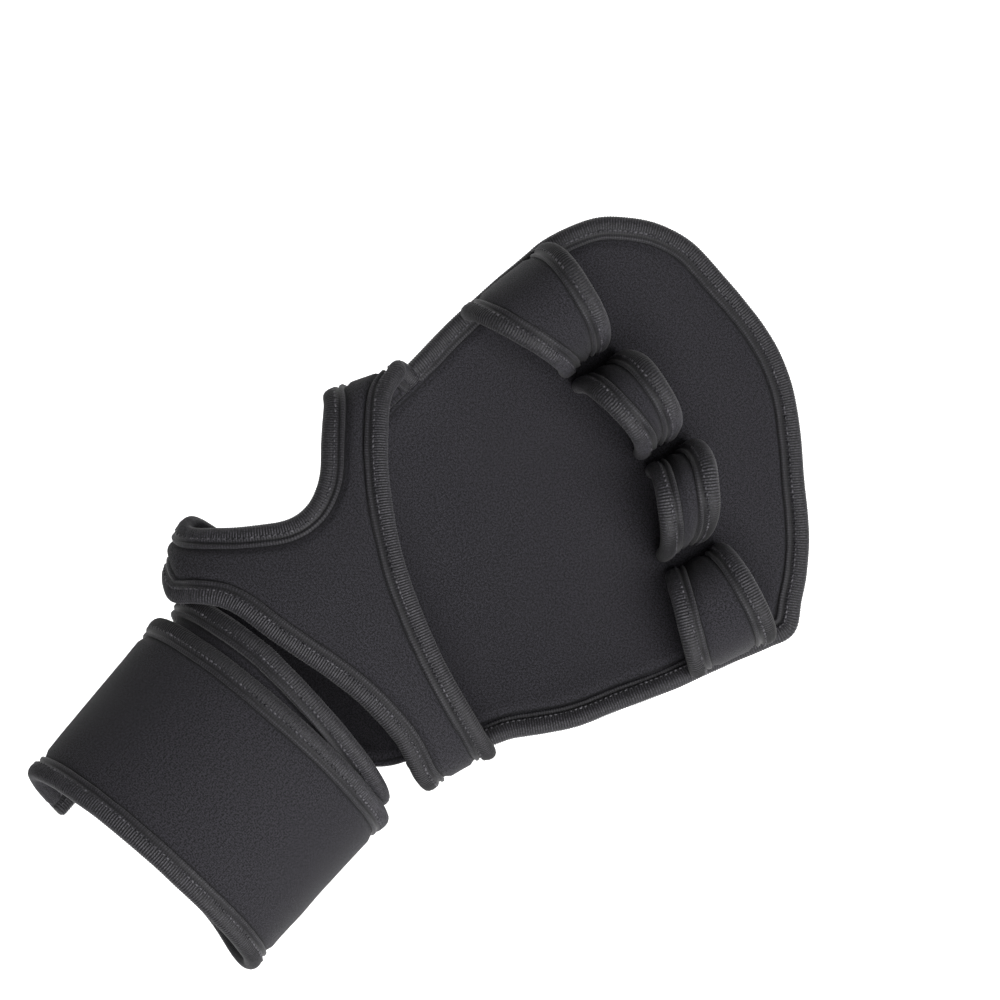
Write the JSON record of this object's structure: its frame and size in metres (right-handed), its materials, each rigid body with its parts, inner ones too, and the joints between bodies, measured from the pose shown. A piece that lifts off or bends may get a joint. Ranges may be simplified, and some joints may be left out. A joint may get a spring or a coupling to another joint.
{
  "type": "weightlifting glove",
  "caption": "Open-back right-hand weightlifting glove: padded palm flap with finger loops, forked strap over the back of the hand and a wrist wrap.",
  "frame": {"origin": "on the palm pad in the hollow of the palm, where the hand sits", "axes": "+Y along the hand to the fingertips, +Z out of the back of the hand, +X to the little finger"},
  "size_m": [0.116, 0.2073, 0.0648],
  "materials": {
    "neoprene": "matte black neoprene faced with fine jersey knit",
    "ribbed_tape": "black cross-ribbed elastic binding tape",
    "hook_tape": "black hook tape"
  },
  "bodies": {
    "root": {"palm_pad": "neoprene", "loop_index": "neoprene", "loop_middle": "neoprene", "loop_ring": "neoprene", "loop_little": "neoprene", "back_strap": "neoprene", "wrist_wrap": "neoprene", "palm_binding": "ribbed_tape", "palm_thumb_binding": "ribbed_tape", "binding_rear_index": "ribbed_tape", "binding_front_index": "ribbed_tape", "binding_rear_middle": "ribbed_tape", "binding_front_middle": "ribbed_tape", "binding_rear_ring": "ribbed_tape", "binding_front_ring": "ribbed_tape", "binding_rear_little": "ribbed_tape", "binding_front_little": "ribbed_tape", "back_binding_finger": "ribbed_tape", "back_binding_thumb": "ribbed_tape", "back_binding_wrist": "ribbed_tape", "wrap_binding_hand": "ribbed_tape", "wrap_binding_arm": "ribbed_tape", "wrap_binding_end": "ribbed_tape", "hook_patch": "hook_tape"}
  },
  "joints": []
}
